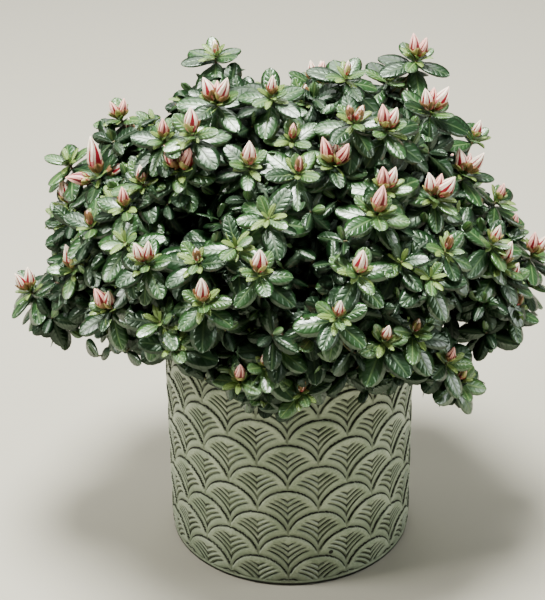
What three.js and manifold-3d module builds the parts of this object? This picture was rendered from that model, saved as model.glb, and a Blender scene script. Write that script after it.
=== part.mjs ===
// A potted azalea: a round glazed planter, the soil in it, a short woody stem with its boughs,
// and nineteen masses of leafy shoots that end in buds. Millimetres, +Z up. The origin is the
// middle of the planter's flat underside, and the front of the plant faces -Y.

import * as THREE from 'three';
import { mergeVertices } from 'three/addons/utils/BufferGeometryUtils.js';
import Module from 'manifold-3d';

const wasm = await Module();
wasm.setup();

// Planter and soil
const planterRadius = 100;
const planterHeight = 188;
const planterWall = 5;
const planterFloor = 7;
const footRound = 1.5;
const rimRound = 2;
const planterSides = 40;
const soilSides = 20;
const soilTop = 162;
const soilCrown = 5;

// Stem and boughs
const gap = 0.3;
const stemHeight = 42;
const stemBaseRadius = 11;
const stemTipRadius = 7.5;
const stemFlare = 5;
const stemFlareFade = 7;
const stemLean = -8;
const stemSides = 12;
const stemSteps = 7;
const boughInset = 4.5;
const boughBaseRadius = 3;
const boughTipRadius = 2.1;
const boughShare = 0.44;
const boughRising = 0.9;
const boughSpreading = 0.3;
const boughBend = 0.45;
const boughSides = 5;
const boughSteps = 3;

// Crown: a dome about the heart of the plant, given by its half sizes
const heart = new THREE.Vector3(-8, 0, 205);
const crownHalfWidth = 213;
const crownHalfDepth = 188;
const crownRise = 190;

// Shoots, leaves and buds
const massStemShare = 0.66;
const massStemRadius = 2.6;
const stemKnot = 14;
const shootsInMass = 7;
const shootSpread = 13;
const middleShootSpread = 3;
const leastSpread = 0.85;
const spreadRange = 0.3;
const bearingRange = 0.4;
const leastReach = 0.96;
const reachRange = 0.08;
const shootRadius = 1.8;
const shootLift = 0.55;
const shootBend = 0.4;
const skirtRise = 20;
const skirtHang = 9;
const whorlLength = 9;
const whorlShares = [0.6, 1];
const whorlDepth = 24;
const leafLength = 37;
const leafHalfWidth = 8.8;
const leafThickness = 2.2;
const leafShoulder = { share: 0.46, side: 0.72 };
const leafWidest = { share: 0.78, side: 1 };
const upperOpening = 60;
const lowerOpening = 78;
const leafTries = [[0, 0], [0, 16], [0, -16], [-16, 0], [-16, 16], [-16, -16], [-30, 0], [14, 0]];
const leastCut = 0.02;
const budLength = 28;
const budRadius = 5.5;
const budWaist = 0.4;
const budShare = 0.62;
const spaceMargin = 0.5;
const planterClearance = 3;

// Where each mass of foliage stands, seen from the heart: degrees round from +X, degrees up from
// level, and how far it stands out of the dome (1) or falls short of it
const masses = [
  { name: 'top_left', azimuth: 160, elevation: 70, reach: 1.1 },
  { name: 'top_right', azimuth: 20, elevation: 61, reach: 1.1 },
  { name: 'top_back', azimuth: 88, elevation: 57, reach: 1 },
  { name: 'brow', azimuth: -89, elevation: 67, reach: 0.98 },
  { name: 'front', azimuth: -90, elevation: 36, reach: 0.98 },
  { name: 'front_right', azimuth: -38, elevation: 39, reach: 1.01 },
  { name: 'right_shoulder', azimuth: 8, elevation: 31, reach: 0.98 },
  { name: 'back_right', azimuth: 51, elevation: 33, reach: 1 },
  { name: 'back_left', azimuth: 124, elevation: 35, reach: 1.02 },
  { name: 'left_shoulder', azimuth: 170, elevation: 37, reach: 0.96 },
  { name: 'front_left', azimuth: -141, elevation: 40, reach: 1 },
  { name: 'low_front', azimuth: -93, elevation: 11, reach: 0.86 },
  { name: 'low_front_right', azimuth: -50, elevation: 14, reach: 0.93 },
  { name: 'low_right', azimuth: -8, elevation: 10, reach: 1 },
  { name: 'low_back_right', azimuth: 38, elevation: 10, reach: 0.98 },
  { name: 'low_back', azimuth: 87, elevation: 13, reach: 0.95 },
  { name: 'low_back_left', azimuth: 135, elevation: 11, reach: 0.97 },
  { name: 'low_left', azimuth: 179, elevation: 11, reach: 1.02 },
  { name: 'low_front_left', azimuth: -138, elevation: 25, reach: 0.93 },
];

// The share of the stem's height at which boughs leave it, by the elevation of their mass
const boughStarts = [
  { upTo: 30, height: 0.3 },
  { upTo: 50, height: 0.64 },
  { upTo: 90, height: 0.95 },
];

const radians = THREE.MathUtils.degToRad;
const up = new THREE.Vector3(0, 0, 1);

// The seeded unevenness of growth: an even spread of values from 0 to 1 over seed and step
function uneven(seed, step) {
  const value = seed * 0.7548776662 + step * 0.569840291;
  return value - Math.floor(value);
}

// A unit vector at an azimuth and an elevation in degrees
function direction(azimuth, elevation) {
  const level = Math.cos(radians(elevation));
  const across = level * Math.cos(radians(azimuth));
  const along = level * Math.sin(radians(azimuth));
  return new THREE.Vector3(across, along, Math.sin(radians(elevation)));
}

// How far the dome stands from the heart in a direction
function domeReach(toward) {
  const x = toward.x / crownHalfWidth;
  const y = toward.y / crownHalfDepth;
  const z = toward.z / crownRise;
  return 1 / Math.hypot(x, y, z);
}

// Two unit vectors square to an axis and to each other
function squareTo(axis) {
  const guide = Math.abs(axis.z) < 0.9 ? up : new THREE.Vector3(1, 0, 0);
  const side = new THREE.Vector3().crossVectors(guide, axis).normalize();
  const other = new THREE.Vector3().crossVectors(axis, side);
  return [side, other];
}

// A direction turned away from an axis by an angle, at a bearing round it
function turnedFrom(axis, angle, bearing) {
  const [side, other] = squareTo(axis);
  return axis.clone().multiplyScalar(Math.cos(angle))
    .addScaledVector(side, Math.sin(angle) * Math.cos(bearing))
    .addScaledVector(other, Math.sin(angle) * Math.sin(bearing));
}

// A geometry with only positions, its shared vertices merged and its empty faces dropped
function tidied(geometry) {
  geometry.deleteAttribute('normal');
  geometry.deleteAttribute('uv');
  const merged = mergeVertices(geometry, 1e-4);
  const corners = merged.getIndex().array;
  const kept = [];
  for (let i = 0; i < corners.length; i += 3) {
    const [a, b, c] = corners.slice(i, i + 3);
    if (a !== b && b !== c && c !== a) kept.push(a, b, c);
  }
  merged.setIndex(kept);
  return merged;
}

function solidFrom(geometry) {
  const merged = tidied(geometry);
  return new wasm.Manifold(new wasm.Mesh({
    numProp: 3,
    vertProperties: new Float32Array(merged.getAttribute('position').array),
    triVerts: new Uint32Array(merged.getIndex().array),
  }));
}

function geometryFrom(solid) {
  const mesh = solid.getMesh();
  const geometry = new THREE.BufferGeometry();
  geometry.setAttribute('position', new THREE.BufferAttribute(new Float32Array(mesh.vertProperties), 3));
  geometry.setIndex(new THREE.BufferAttribute(new Uint32Array(mesh.triVerts), 1));
  geometry.computeVertexNormals();
  return geometry;
}

// A tapering limb: a cylinder whose rings are carried along a curve that bends in one plane, with
// a radius for each share of its length. Both ends are lengthened by extra.
function limb(curve, radiusAt, sides, steps, extra = 0) {
  const geometry = new THREE.CylinderGeometry(1, 1, 1, sides, steps);
  const spots = geometry.getAttribute('position');
  const bend = new THREE.Vector3().crossVectors(curve.getTangent(0), curve.getTangent(1));
  const side = bend.length() > 0.001 ? bend.normalize() : squareTo(curve.getTangent(0))[0];
  for (let i = 0; i < spots.count; i += 1) {
    const share = spots.getY(i) + 0.5;
    const along = curve.getTangent(share);
    const other = new THREE.Vector3().crossVectors(along, side).normalize();
    const radius = radiusAt(share);
    const spot = curve.getPoint(share)
      .addScaledVector(other, spots.getX(i) * radius)
      .addScaledVector(side, spots.getZ(i) * radius);
    if (share < 0.001) spot.addScaledVector(along, -extra);
    if (share > 0.999) spot.addScaledVector(along, extra);
    spots.setXYZ(i, spot.x, spot.y, spot.z);
  }
  return geometry;
}

// A curve from one point to another that arrives along a given direction
function bentCurve(start, end, arriving, bend) {
  const length = start.distanceTo(end);
  const middle = end.clone().addScaledVector(arriving, -bend * length);
  return new THREE.QuadraticBezierCurve3(start, middle, end);
}

// Points of an arc in the plane of a turned profile
function arc(centreRadius, centreHeight, radius, from, to, steps) {
  return Array.from({ length: steps + 1 }, (_, i) => {
    const angle = radians(from + ((to - from) * i) / steps);
    const out = centreRadius + radius * Math.cos(angle);
    return new THREE.Vector2(out, centreHeight + radius * Math.sin(angle));
  });
}

// A turned solid that stands on Z, from a profile that starts and ends on the axis
function turned(profile, sides) {
  return new THREE.LatheGeometry(profile, sides).rotateX(Math.PI / 2);
}

// The planter: a straight round wall on a flat floor, with a rounded foot and rim
function planterGeometry() {
  const inner = planterRadius - planterWall;
  const rimCentre = planterRadius - rimRound;
  return turned([
    new THREE.Vector2(0, 0),
    ...arc(planterRadius - footRound, footRound, footRound, -90, 0, 3),
    ...arc(rimCentre, planterHeight - rimRound, rimRound, 0, 90, 2),
    ...arc(inner + rimRound, planterHeight - rimRound, rimRound, 90, 180, 1),
    new THREE.Vector2(inner, planterFloor),
    new THREE.Vector2(0, planterFloor),
  ], planterSides);
}

// The soil: it fills the planter to below the rim and rises a little towards the stem
function soilGeometry() {
  const radius = planterRadius - planterWall - gap;
  const bottom = planterFloor + gap;
  const slope = Array.from({ length: 4 }, (_, i) => {
    const share = 1 - i / 3;
    return new THREE.Vector2(radius * share, soilTop - soilCrown * share * share);
  });
  return turned([
    new THREE.Vector2(0, bottom),
    ...arc(radius - footRound, bottom + footRound, footRound, -90, 0, 2),
    ...slope,
  ], soilSides);
}

// The stem: a short trunk that leans a little, tapers, and flares where it meets the soil
const stemFoot = new THREE.Vector3(0, 0, soilTop + gap);
const stemTip = new THREE.Vector3(stemLean, 0, soilTop + gap + stemHeight);
const stemKnee = stemFoot.clone().addScaledVector(up, 0.5 * stemHeight);
const stemCurve = new THREE.QuadraticBezierCurve3(stemFoot, stemKnee, stemTip);

function stemRadius(share, extra = 0) {
  const taper = THREE.MathUtils.lerp(stemBaseRadius, stemTipRadius, share);
  return taper + stemFlare * Math.exp(-share * stemFlareFade) + extra;
}

// A bough runs from inside the stem to where its mass of foliage begins
function boughCurve(mass) {
  const start = stemCurve.getPoint(boughStarts.find((step) => mass.elevation <= step.upTo).height);
  const outward = direction(mass.azimuth, 0);
  const end = heart.clone().addScaledVector(mass.axis, boughShare * mass.length);
  const arriving = mass.axis.clone().multiplyScalar(boughRising)
    .addScaledVector(outward, boughSpreading).normalize();
  return bentCurve(start.addScaledVector(outward, boughInset), end, arriving, boughBend);
}

function boughRadius(share) {
  return THREE.MathUtils.lerp(boughBaseRadius, boughTipRadius, Math.sqrt(share));
}

// A growing surface: points and the faces between them. Twigs are three-sided rings joined by
// faces, and each shoot or leaf takes the place of one facet of the twig that bears it, so a
// whole mass is one closed surface.
class Growth {
  constructor() {
    this.points = [];
    this.faces = [];
  }

  point(position) {
    this.points.push(position.clone());
    return this.points.length - 1;
  }

  face(...corners) {
    this.faces.push(corners);
  }

  at(...corners) {
    return corners.map((corner) => this.points[corner]);
  }

  geometry(faces = this.faces) {
    const geometry = new THREE.BufferGeometry();
    geometry.setFromPoints(this.points);
    geometry.setIndex(faces.flat());
    return geometry;
  }
}

// Unit offsets spaced evenly round an axis, the first one as near as can be to a given vector
function offsetsRound(along, first, count) {
  const start = first.clone().addScaledVector(along, -first.dot(along)).normalize();
  const steps = Array.from({ length: count }, (_, i) => (2 * Math.PI * i) / count);
  return steps.map((step) => start.clone().applyAxisAngle(along, step));
}

function ring(growth, centre, along, first, radius, count = 3) {
  return offsetsRound(along, first, count)
    .map((offset) => growth.point(centre.clone().addScaledVector(offset, radius)));
}

function joinRings(growth, low, high) {
  low.forEach((corner, i) => {
    const next = (i + 1) % low.length;
    growth.face(corner, low[next], high[next]);
    growth.face(corner, high[next], high[i]);
  });
}

// The six facets between two rings turned by half a side: their keel points up and down by turns.
// Each is given as its keel corner and two flat corners, anticlockwise seen from outside.
function facetsBetween(low, high) {
  return low.flatMap((corner, i) => {
    const next = (i + 1) % 3;
    return [
      { corners: [high[i], corner, low[next]], keelUp: true },
      { corners: [low[next], high[next], high[i]], keelUp: false },
    ];
  });
}

function centroid(points) {
  const sum = points.reduce((total, point) => total.add(point), new THREE.Vector3());
  return sum.divideScalar(points.length);
}

// A twig grows from three corners along a curve. Each knot on it is a pair of rings turned by half
// a side, whose six facets can bear shoots or leaves. The last knot ends the twig with a cap.
function growTwig(growth, base, curve, radius, knotLength, knotShares) {
  let last = base;
  let centre = centroid(growth.at(...base));
  function nextRing(share, turn) {
    const along = curve.getTangent(share);
    const first = growth.points[last[0]].clone().sub(centre).applyAxisAngle(along, turn);
    centre = curve.getPoint(share);
    return ring(growth, centre, along, first, radius);
  }
  const knots = knotShares.map((share) => {
    const low = nextRing(share - knotLength / curve.getLength(), 0);
    joinRings(growth, last, low);
    last = low;
    last = nextRing(share, Math.PI / 3);
    return {
      facets: facetsBetween(low, last),
      end: centre,
      pointing: curve.getTangent(share),
      isEnd: share === 1,
    };
  });
  return { knots, cap: last };
}

// A leaf grows from a facet: two flat corners and the keel corner, from which the midrib runs to
// the leaf's tip. Its flat side faces away from the keel.
function leafFaces(growth, facet, along, facing) {
  const [keel, second, first] = facet.corners;
  const across = new THREE.Vector3().crossVectors(along, facing);
  const root = centroid(growth.at(first, keel, second));
  const corner = (share, side, rise) => growth.point(root.clone()
    .addScaledVector(along, share * leafLength)
    .addScaledVector(across, side * leafHalfWidth)
    .addScaledVector(facing, rise * leafThickness));
  const nearFirst = corner(leafShoulder.share, leafShoulder.side, 0.5);
  const farFirst = corner(leafWidest.share, leafWidest.side, 0.5);
  const nearSecond = corner(leafShoulder.share, -leafShoulder.side, 0.5);
  const farSecond = corner(leafWidest.share, -leafWidest.side, 0.5);
  const tip = corner(1, 0, -0.5);
  return [
    [first, keel, nearFirst], [keel, tip, nearFirst], [nearFirst, tip, farFirst],
    [keel, second, nearSecond], [keel, nearSecond, tip], [nearSecond, farSecond, tip],
    [second, first, nearFirst], [second, nearFirst, nearSecond],
    [nearSecond, nearFirst, farFirst], [nearSecond, farFirst, farSecond],
    [farFirst, tip, farSecond],
  ];
}

// A bud closes the end of a shoot: a pointed spindle, widest near its foot
function growBud(growth, cap, end, pointing) {
  const first = growth.points[cap[0]].clone().sub(end);
  const waist = end.clone().addScaledVector(pointing, budWaist * budLength);
  const wide = ring(growth, waist, pointing, first, budRadius, 6);
  const apex = growth.point(end.clone().addScaledVector(pointing, budLength));
  cap.forEach((corner, i) => {
    const next = cap[(i + 1) % 3];
    const between = wide[2 * i + 1];
    growth.face(corner, next, between);
    growth.face(corner, between, wide[2 * i]);
    growth.face(next, wide[(2 * i + 2) % 6], between);
  });
  wide.forEach((corner, i) => growth.face(corner, wide[(i + 1) % 6], apex));
}

// A mass keeps to its own space: nearer to its own axis than to any other mass's, and clear of the
// planter
function inOwnSpace(point, mass, margin = spaceMargin) {
  const fromHeart = point.clone().sub(heart);
  const ownSide = masses.every((other) => {
    if (other === mass) return true;
    const across = mass.axis.clone().sub(other.axis).normalize();
    return fromHeart.dot(across) > margin;
  });
  const aboveRim = point.z > planterHeight + planterClearance;
  const outsideWall = Math.hypot(point.x, point.y) > planterRadius + planterClearance;
  return ownSide && (aboveRim || outsideWall);
}

function clearOfBoughs(point) {
  return masses.every((mass) => mass.boughPoints.every(
    (spot) => spot.distanceTo(point) > 2 * boughBaseRadius,
  ));
}

// A leaf is kept where its corners and the middles between them are in the mass's space
function leafFits(corners, mass) {
  return corners.every((corner, i) => corners.slice(i).every((other) => {
    const middle = corner.clone().lerp(other, 0.5);
    return inOwnSpace(middle, mass) && clearOfBoughs(middle);
  }));
}

// One leaf for a facet, tried wide open, swung to a side and more upright. The facet stays bare
// where the leaf would leave the mass's space or cut what already grows there.
function growLeaf(growth, facet, knot, mass, grown) {
  const [keel, second, first] = facet.corners;
  const root = centroid(growth.at(keel, second, first));
  const outward = root.clone().sub(knot.end);
  outward.addScaledVector(knot.pointing, -outward.dot(knot.pointing)).normalize();
  for (const [raise, swing] of leafTries) {
    const opening = radians((facet.keelUp ? lowerOpening : upperOpening) + raise);
    const swung = outward.clone().applyAxisAngle(knot.pointing, radians(swing));
    const along = knot.pointing.clone().multiplyScalar(Math.cos(opening))
      .addScaledVector(swung, Math.sin(opening));
    const upper = knot.pointing.clone().multiplyScalar(Math.sin(opening))
      .addScaledVector(swung, -Math.cos(opening));
    const facing = facet.keelUp ? upper.negate() : upper;
    const faces = leafFaces(growth, facet, along, facing);
    const leafCorners = growth.points.slice(-5);
    const leaf = solidFrom(growth.geometry([...faces, [first, second, keel]]));
    const cut = grown.some((other) => other.intersect(leaf).volume() > leastCut);
    if (leafFits(leafCorners, mass) && !cut) {
      grown.push(leaf);
      faces.forEach((face) => growth.face(...face));
      return;
    }
    growth.points.length -= 5;
  }
  growth.face(...facet.corners);
}

// The directions of a mass's shoots: one along its axis and six about it, unevenly. Those of the
// crown's skirt hang only a little below their mass's axis.
function shootDirection(mass, i) {
  const seed = mass.seed * shootsInMass + i;
  if (i === shootsInMass - 1) {
    return turnedFrom(mass.axis, radians(middleShootSpread), 2 * Math.PI * uneven(seed, 1));
  }
  const bearing = mass.turn + (i * Math.PI) / 3 + bearingRange * (uneven(seed, 2) - 0.5);
  const angle = radians(shootSpread) * (leastSpread + spreadRange * uneven(seed, 3));
  const toward = turnedFrom(mass.axis, angle, bearing);
  if (mass.elevation > skirtRise) return toward;
  toward.z = Math.max(toward.z, Math.sin(radians(mass.elevation - skirtHang)));
  return toward.normalize();
}

// One mass of foliage: a stem on from the bough's tip and seven shoots, with leaves and buds
function massGrowth(mass) {
  const growth = new Growth();
  const leaving = mass.boughCurve.getTangent(1);
  const start = mass.boughCurve.getPoint(1).addScaledVector(leaving, gap);
  const fork = heart.clone().addScaledVector(mass.axis, massStemShare * mass.length);
  const knee = start.clone().addScaledVector(leaving, start.distanceTo(fork) * 0.5);
  const curve = new THREE.QuadraticBezierCurve3(start, knee, fork);
  const first = turnedFrom(leaving, Math.PI / 2, mass.turn);
  const foot = ring(growth, start, leaving, first, massStemRadius);
  growth.face(foot[0], foot[2], foot[1]);
  const stem = growTwig(growth, foot, curve, massStemRadius, stemKnot, [1]);
  const bases = [...stem.knots[0].facets.map((facet) => facet.corners), stem.cap];
  const knots = bases.flatMap((base, i) => {
    const seed = mass.seed * shootsInMass + i;
    const toward = shootDirection(mass, i);
    const stretch = mass.reach * (leastReach + reachRange * uneven(seed, 4));
    const tip = heart.clone().addScaledVector(toward, domeReach(toward) * stretch - whorlDepth);
    if (!inOwnSpace(tip, mass, 2 * shootRadius)) {
      growth.face(...base);
      return [];
    }
    const arriving = toward.clone().addScaledVector(up, shootLift).normalize();
    const curveUp = bentCurve(centroid(growth.at(...base)), tip, arriving, shootBend);
    const shoot = growTwig(growth, base, curveUp, shootRadius, whorlLength, whorlShares);
    const budEnd = tip.clone().addScaledVector(arriving, budLength);
    if (uneven(seed, 5) < budShare && inOwnSpace(budEnd, mass, budRadius)) {
      growBud(growth, shoot.cap, tip, arriving);
    } else {
      growth.face(...shoot.cap);
    }
    return shoot.knots;
  });
  const bare = knots.flatMap((knot) => knot.facets.map((facet) => facet.corners));
  const grown = [solidFrom(growth.geometry([...growth.faces, ...bare]))];
  knots.forEach((knot) => {
    knot.facets.forEach((facet) => {
      if (knot.isEnd || !facet.keelUp) growLeaf(growth, facet, knot, mass, grown);
      else growth.face(...facet.corners);
    });
  });
  return growth.geometry();
}

masses.forEach((mass, i) => {
  mass.seed = i + 1;
  mass.axis = direction(mass.azimuth, mass.elevation);
  mass.length = domeReach(mass.axis) * mass.reach;
  mass.turn = 2 * Math.PI * uneven(mass.seed, 0);
});
masses.forEach((mass) => {
  mass.boughCurve = boughCurve(mass);
  mass.boughPoints = mass.boughCurve.getPoints(24);
});

const glaze = new THREE.MeshStandardMaterial({ color: 0x98a287, roughness: 0.45, metalness: 0 });
const peat = new THREE.MeshStandardMaterial({ color: 0x33261c, roughness: 0.95, metalness: 0 });
const bark = new THREE.MeshStandardMaterial({ color: 0x6b4f39, roughness: 0.85, metalness: 0 });
const foliage = new THREE.MeshStandardMaterial({ color: 0x2f4a34, roughness: 0.4, metalness: 0 });

const azalea = new THREE.Group();

function addPart(name, geometry, material) {
  const part = new THREE.Mesh(geometry, material);
  part.name = name;
  azalea.add(part);
}

addPart('planter', planterGeometry(), glaze);
addPart('soil', soilGeometry(), peat);
addPart('stem', limb(stemCurve, (share) => stemRadius(share), stemSides, stemSteps), bark);

const aroundStem = limb(stemCurve, (share) => stemRadius(share, gap), stemSides, stemSteps, gap);
const stemSpace = solidFrom(aroundStem);
for (const mass of masses) {
  const whole = solidFrom(limb(mass.boughCurve, boughRadius, boughSides, boughSteps));
  addPart(`bough_${mass.name}`, geometryFrom(whole.subtract(stemSpace)), bark);
  addPart(`foliage_${mass.name}`, massGrowth(mass), foliage);
}

export default azalea;
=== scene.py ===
"""A potted azalea in bud: the glazed planter, its soil, the woody limbs, and the shoots with their
leaves and flower buds. Metres, +Z up, the front of the plant faces -Y."""

import bpy
import numpy as np
from mathutils import Matrix


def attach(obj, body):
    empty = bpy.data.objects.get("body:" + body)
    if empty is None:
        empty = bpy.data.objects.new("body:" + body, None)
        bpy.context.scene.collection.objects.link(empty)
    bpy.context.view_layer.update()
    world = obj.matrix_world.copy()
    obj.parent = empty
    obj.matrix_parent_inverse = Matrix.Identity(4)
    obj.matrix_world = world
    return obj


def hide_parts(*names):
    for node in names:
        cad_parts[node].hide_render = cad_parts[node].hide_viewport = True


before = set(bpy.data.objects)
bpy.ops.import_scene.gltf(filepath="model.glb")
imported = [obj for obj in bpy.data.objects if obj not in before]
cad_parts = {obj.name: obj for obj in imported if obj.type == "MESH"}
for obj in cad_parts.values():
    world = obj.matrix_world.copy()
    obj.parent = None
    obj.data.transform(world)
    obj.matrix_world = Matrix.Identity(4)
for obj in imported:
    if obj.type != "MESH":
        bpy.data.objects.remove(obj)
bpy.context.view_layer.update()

# Planter
# A straight round stoneware pot. Its wall is cast with rows of overlapping scallops, each filled
# with chevron ribs, under a sage glaze that stays dark in the cut lines. A dark line rings the foot.
mm = 0.001
full_turn = 2 * np.pi
planter_radius = 100 * mm
planter_height = 188 * mm
wall_thickness = 5 * mm
floor_thickness = 7 * mm
foot_round = 1.5 * mm
rim_round = 2 * mm
scallop_columns = 13
scallop_pitch = full_turn * planter_radius / scallop_columns
scallop_radius = scallop_pitch / 2
row_pitch = 21.6 * mm
lowest_row_top = 28.2 * mm
front_turn = 3.3 * mm
leg_height = 8.5 * mm
rib_centre_out = 25.5 * mm
rib_centre_down = 17 * mm
first_rib = 27.8 * mm
rib_pitch = 4.2 * mm
ribs_in_scallop = 4
last_rib = (ribs_in_scallop - 0.5) * rib_pitch
cut_depth = 0.5 * mm
rib_swell = 1.2 * mm
rib_height = 0.6 * mm
tier_step = 1.5 * mm
tier_softening = 0.9 * mm
grain_depth = 0.08 * mm
# how far the painted shade reaches above the arches of the row below
hollow_shade_width = 5 * mm
wall_skin = 2.5 * mm
chip_around = 31.6 * mm
chip_height = 29.9 * mm
chip_radius = 1.8 * mm
cells_per_scallop = 42
wall_rows = 150
inner_wall_rows = 5

# The soft edges of the pattern, each from where it starts to where it ends. They are measured
# from the middle of a line or of the chip, up from an arch's centre, in from an arch, from the
# first rib, up from the foot, or out from the pot's axis.
arch_line_edge = (0.3 * mm, 0.85 * mm)
rib_line_edge = (0.15 * mm, 0.85 * mm)
spine_edge = (0.2 * mm, 1.3 * mm)
spine_bead = (0, 1.6 * mm)
leg_end = (leg_height - 1 * mm, leg_height + 1 * mm)
ribs_inside_arch = (3.5 * mm, 7.5 * mm)
ribs_start = (-1.2 * mm, -0.8 * mm)
ribs_end = (last_rib - 0.4 * mm, last_rib)
chip_edge = (chip_radius, chip_radius + 0.4 * mm)
foot_line_edge = (2.5 * mm, 3.5 * mm)
lines_start = (4.5 * mm, 6 * mm)
lines_end = (planter_height - 5 * mm, planter_height - 3 * mm)
relief_start = (4 * mm, 6.5 * mm)
relief_end = (planter_height - 5 * mm, planter_height - 2.5 * mm)
inside_edge = (planter_radius - 3.4 * mm, planter_radius - 2.6 * mm)

glaze_color = (0.215, 0.265, 0.17, 1)
# pale glaze of the clouds, which also gives a painted highlight near the top of each tier
pale_glaze_and_highlight_color = (0.36, 0.41, 0.29, 1)
# painted shade in the hollows above the arches below and along the ribs
hollow_shade_color = (0.095, 0.112, 0.066, 1)
cut_color = (0.004, 0.0045, 0.0015, 1)
inside_color = (0.115, 0.10, 0.082, 1)
pale_inside_color = (0.17, 0.15, 0.125, 1)

# The clouds in the glaze, and where the cut lines thin out: how many a metre has and their detail
clouds_grain = (46, 5)
fine_clouds_grain = (520, 2)
thinning_grain = (130, 2)


class Finish:
    """A material. Its methods add nodes, and numbers that come from them are Value objects."""

    def __init__(self, name, color, roughness, **sockets):
        self.material = bpy.data.materials.new(name)
        self.material.use_nodes = True
        self.tree = self.material.node_tree
        self.surface = self.tree.nodes["Principled BSDF"]
        self.set(base_color=color, roughness=roughness, **sockets)

    def set(self, **sockets):
        """Feeds the surface's sockets, named in lower case with underscores."""
        for name, value in sockets.items():
            self.feed(self.surface.inputs[SOCKET_NAMES[name]], value)

    def feed(self, socket, value):
        """Links a Value to a socket, or sets the socket's own number or colour."""
        if isinstance(value, Value):
            self.tree.links.new(value.socket, socket)
        else:
            socket.default_value = value

    def add(self, kind, settings, sockets, output=0):
        """Adds a node of any kind: its settings come first, then its sockets' values or links."""
        node = self.tree.nodes.new(kind)
        for name, value in settings.items():
            setattr(node, name, value)
        for name, value in sockets.items():
            self.feed(node.inputs[name], value)
        return Value(self, node.outputs[output])

    def math(self, operation, *values):
        """Any sum of a Math node, on Values and numbers."""
        return self.add("ShaderNodeMath", {"operation": operation}, dict(enumerate(values)))

    def ceil(self, value):
        return self.math("CEIL", value)

    def root(self, value):
        return self.math("SQRT", value)

    def size(self, value):
        """The value without its sign."""
        return self.math("ABSOLUTE", value)

    def most(self, one, other):
        return self.math("MAXIMUM", one, other)

    def wrap(self, value, half):
        """The value brought between -half and half by whole steps of twice half."""
        return self.math("WRAP", value, half, -half)

    def rise(self, value, low, high):
        """0 up to low and 1 from high on, with a smooth step between."""
        return self.add("ShaderNodeMapRange", {"interpolation_type": "SMOOTHSTEP"},
                        {"Value": value, "From Min": low, "From Max": high})

    def fall(self, value, low, high):
        """1 up to low and 0 from high on."""
        return 1 - self.rise(value, low, high)

    def noise(self, place, scale, detail):
        """Clouds from 0 to 1, about as many to the metre as the scale says."""
        return self.add("ShaderNodeTexNoise", {},
                        {"Vector": place, "Scale": scale, "Detail": detail})

    def blend(self, share, color, other):
        """One colour where share is 0, the other where it is 1. A Mix node's colours are its
        inputs 6 and 7, and its mixed colour is its output 2."""
        return self.add("ShaderNodeMix", {"data_type": "RGBA"}, {0: share, 6: color, 7: other}, 2)

    def bump(self, height, distance=1.0, strength=1.0):
        """Raises the surface by a height times a distance in metres."""
        self.set(normal=self.add("ShaderNodeBump", {},
                                 {"Strength": strength, "Distance": distance, "Height": height}))

    def place(self):
        """The place of each point in metres."""
        return self.add("ShaderNodeTexCoord", {}, {}, "Object")

    def parts(self, vector):
        """The X, Y and Z of a vector."""
        first = self.add("ShaderNodeSeparateXYZ", {}, {0: vector})
        return [Value(self, socket) for socket in first.socket.node.outputs]


SOCKET_NAMES = {
    "base_color": "Base Color", "roughness": "Roughness", "normal": "Normal",
    "coat_weight": "Coat Weight", "coat_roughness": "Coat Roughness", "coat_ior": "Coat IOR",
    "specular": "Specular IOR Level", "specular_tint": "Specular Tint",
    "subsurface_weight": "Subsurface Weight", "subsurface_scale": "Subsurface Scale",
    "subsurface_radius": "Subsurface Radius",
}


class Value:
    """A socket that gives a number or a colour. Each operator on it adds a Math node."""

    def __init__(self, finish, socket):
        self.finish = finish
        self.socket = socket

    def __add__(self, other):
        return self.finish.math("ADD", self, other)

    __radd__ = __add__

    def __sub__(self, other):
        return self.finish.math("SUBTRACT", self, other)

    def __rsub__(self, other):
        return self.finish.math("SUBTRACT", other, self)

    def __mul__(self, other):
        return self.finish.math("MULTIPLY", self, other)

    __rmul__ = __mul__

    def __truediv__(self, other):
        return self.finish.math("DIVIDE", self, other)

    def __gt__(self, other):
        return self.finish.math("GREATER_THAN", self, other)

    def __lt__(self, other):
        return self.finish.math("LESS_THAN", self, other)


class Arrays:
    """The same sums as a Finish gives, on arrays of numbers."""

    ceil = staticmethod(np.ceil)
    root = staticmethod(np.sqrt)
    size = staticmethod(np.abs)
    most = staticmethod(np.maximum)

    @staticmethod
    def wrap(value, half):
        return np.mod(value + half, 2 * half) - half

    @staticmethod
    def rise(value, low, high):
        share = np.clip((value - low) / (high - low), 0, 1)
        return share * share * (3 - 2 * share)

    @staticmethod
    def fall(value, low, high):
        return 1 - Arrays.rise(value, low, high)


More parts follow.
